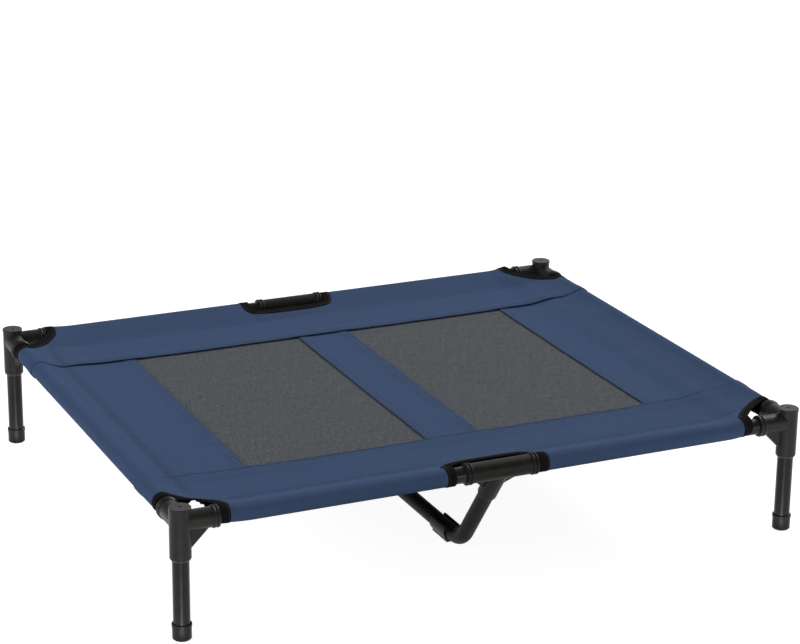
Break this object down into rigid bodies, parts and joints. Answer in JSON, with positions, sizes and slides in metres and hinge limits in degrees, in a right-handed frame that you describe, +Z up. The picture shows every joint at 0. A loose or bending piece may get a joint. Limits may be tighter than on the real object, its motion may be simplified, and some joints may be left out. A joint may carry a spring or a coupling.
{
  "type": "raised dog cot",
  "caption": "Low raised pet bed: a sewn cloth and mesh deck sleeved over a push-together tube frame on capped legs, with a bent centre brace resting on the floor.",
  "frame": {"origin": "on the floor under the middle of the deck", "axes": "+X along the cot's length, +Y from the front to the back, +Z up"},
  "size_m": [0.92, 0.768, 0.18],
  "materials": {
    "tube": "black powder coat, semi-gloss",
    "connector": "black moulded plastic, satin",
    "foot": "black moulded rubber",
    "cloth": "navy coated plain-weave polyester",
    "mesh": "grey open-weave coated mesh",
    "binding": "black woven tape"
  },
  "bodies": {
    "frame": {"corner_front_left": "connector", "rail_front_left": "tube", "binding_front_left": "binding", "corner_front_right": "connector", "rail_front_right": "tube", "binding_front_right": "binding", "corner_back_right": "connector", "rail_back_right": "tube", "binding_back_right": "binding", "corner_back_left": "connector", "rail_back_left": "tube", "binding_back_left": "binding", "rail_left": "tube", "rail_right": "tube", "brace_front": "tube", "brace_back": "tube", "tee_front": "connector", "tee_back": "connector", "brace_foot_front": "foot", "brace_foot_back": "foot", "mesh_left": "mesh", "mesh_right": "mesh", "centre_strip": "cloth", "border_left": "cloth", "border_right": "cloth", "band_front": "cloth", "band_back": "cloth", "binding_tee_front": "binding", "binding_tee_back": "binding"},
    "front_left_leg": {"leg_front_left": "tube", "foot_front_left": "foot"},
    "front_right_leg": {"leg_front_right": "tube", "foot_front_right": "foot"},
    "back_right_leg": {"leg_back_right": "tube", "foot_back_right": "foot"},
    "back_left_leg": {"leg_back_left": "tube", "foot_back_left": "foot"}
  },
  "joints": [
    {"name": "front_left_leg_pull", "type": "slide", "parent": "frame", "child": "front_left_leg", "axis": [0, 0, -1], "range_m": [0, 0.035]},
    {"name": "front_right_leg_pull", "type": "slide", "parent": "frame", "child": "front_right_leg", "axis": [0, 0, -1], "range_m": [0, 0.035]},
    {"name": "back_right_leg_pull", "type": "slide", "parent": "frame", "child": "back_right_leg", "axis": [0, 0, -1], "range_m": [0, 0.035]},
    {"name": "back_left_leg_pull", "type": "slide", "parent": "frame", "child": "back_left_leg", "axis": [0, 0, -1], "range_m": [0, 0.035]}
  ]
}
